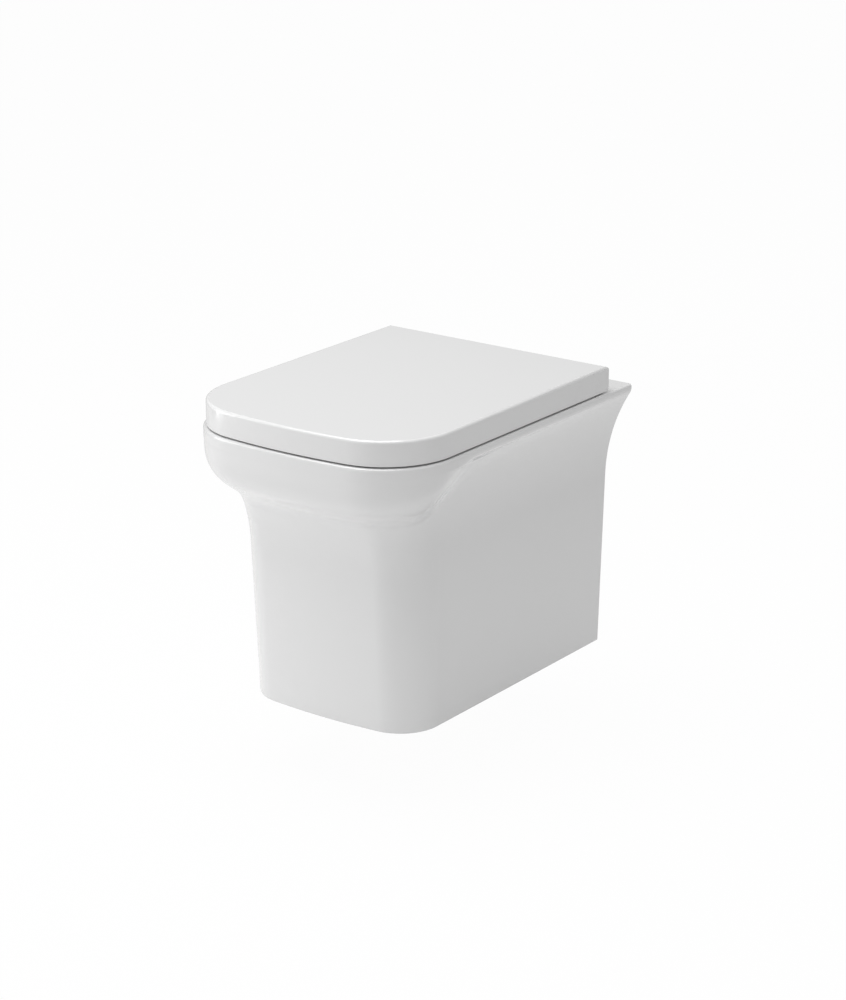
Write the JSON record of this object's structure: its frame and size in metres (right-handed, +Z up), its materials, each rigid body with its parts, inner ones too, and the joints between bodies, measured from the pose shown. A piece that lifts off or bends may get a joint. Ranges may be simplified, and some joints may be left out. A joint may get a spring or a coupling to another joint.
{
  "type": "wall hung toilet",
  "caption": "Compact squared wall hung toilet pan in white china with a full skirt, washdown bowl, trapway and a soft closing seat and lid on quick release hinges.",
  "frame": {"origin": "midway between the centres of the two wall stud holes, on the wall plane", "axes": "+Z up, +Y into the wall, +X to the right for someone facing the wall"},
  "size_m": [0.3578, 0.5038, 0.4019],
  "materials": {
    "white_china": "white vitreous china with a clear high gloss glaze",
    "white_duroplast": "pressed white urea resin, polished",
    "white_polypropylene": "moulded white plastic, satin",
    "grey_nylon": "moulded grey nylon, satin",
    "black_rubber": "moulded black rubber, matte",
    "grey_rubber": "soft grey rubber, matte",
    "stainless_steel": "stainless steel, fine turned finish",
    "satin_zinc_casting": "cast zinc, satin plated",
    "zinc_steel": "zinc plated steel, dull"
  },
  "bodies": {
    "pan": {"pan": "white_china", "flush_distributor": "white_polypropylene", "inlet_seal": "black_rubber", "wall_fixing_sleeves": "white_polypropylene", "wall_fixing_washers": "zinc_steel", "wall_fixing_nuts": "zinc_steel", "seat_fixing_bolts": "stainless_steel", "expanding_plugs": "black_rubber", "plug_nuts": "white_polypropylene", "base_gasket_left": "grey_rubber", "base_gasket_right": "grey_rubber", "hinge_base_left": "stainless_steel", "hinge_base_right": "stainless_steel", "hinge_post_left": "satin_zinc_casting", "hinge_post_right": "satin_zinc_casting", "hinge_pin_left": "stainless_steel", "hinge_pin_right": "stainless_steel", "grub_screws": "stainless_steel"},
    "seat": {"seat_ring": "white_duroplast", "seat_buffers_rear": "grey_rubber", "seat_buffers_front": "grey_rubber", "seat_damper": "grey_nylon", "seat_bush": "grey_nylon"},
    "lid": {"lid": "white_duroplast", "lid_buffers": "grey_rubber", "lid_damper": "grey_nylon", "lid_bush": "grey_nylon"}
  },
  "joints": [
    {"name": "seat_hinge", "type": "hinge", "parent": "pan", "child": "seat", "pos_m": [0, -0.0583, 0.1], "axis": [-1, 0, 0], "range_deg": [0, 92]},
    {"name": "lid_hinge", "type": "hinge", "parent": "seat", "child": "lid", "pos_m": [0, -0.0583, 0.1], "axis": [-1, 0, 0], "range_deg": [0, 93]}
  ]
}
